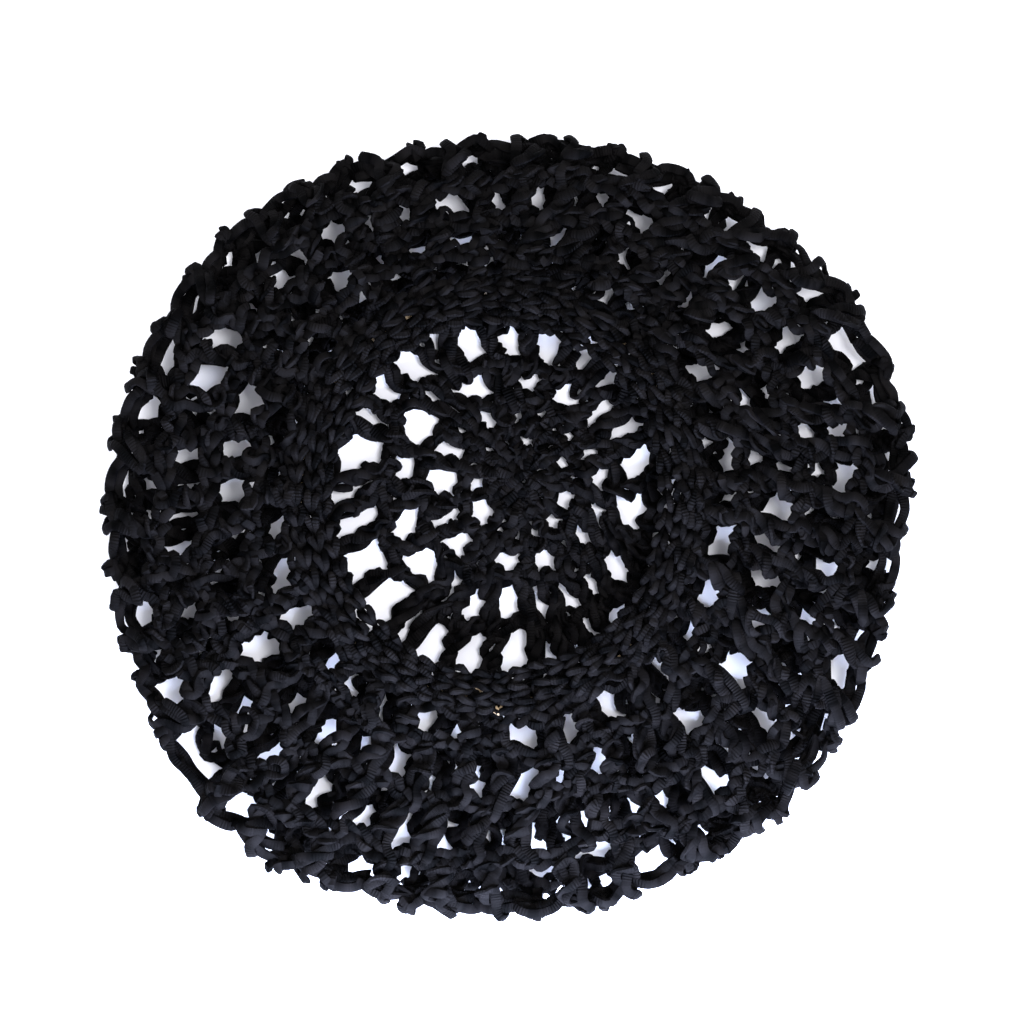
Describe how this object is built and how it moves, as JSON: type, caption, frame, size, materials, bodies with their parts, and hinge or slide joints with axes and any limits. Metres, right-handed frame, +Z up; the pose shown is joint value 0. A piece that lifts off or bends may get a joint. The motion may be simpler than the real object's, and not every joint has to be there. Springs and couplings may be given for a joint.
{
  "type": "crochet hair snood",
  "caption": "Round openwork hair snood crocheted in black tape yarn, laid flat on its crown, with a gathered mouth band over an elastic ring.",
  "frame": {"origin": "on the surface that the snood lies on, under the middle of its extent", "axes": "+Z up, out of the mouth; +X along the wider way across, to the right as the picture shows it; +Y towards the top of the picture"},
  "size_m": [0.2702, 0.2606, 0.0236],
  "materials": {
    "yarn": "matte ribbed tape yarn, near black",
    "elastic": "plain tan elastic cord"
  },
  "bodies": {
    "root": {"crown_rosette": "yarn", "crown_net": "yarn", "side_net": "yarn", "gathered_net": "yarn", "mouth_band": "yarn", "edge_chain": "yarn", "elastic_ring": "elastic"}
  },
  "joints": []
}
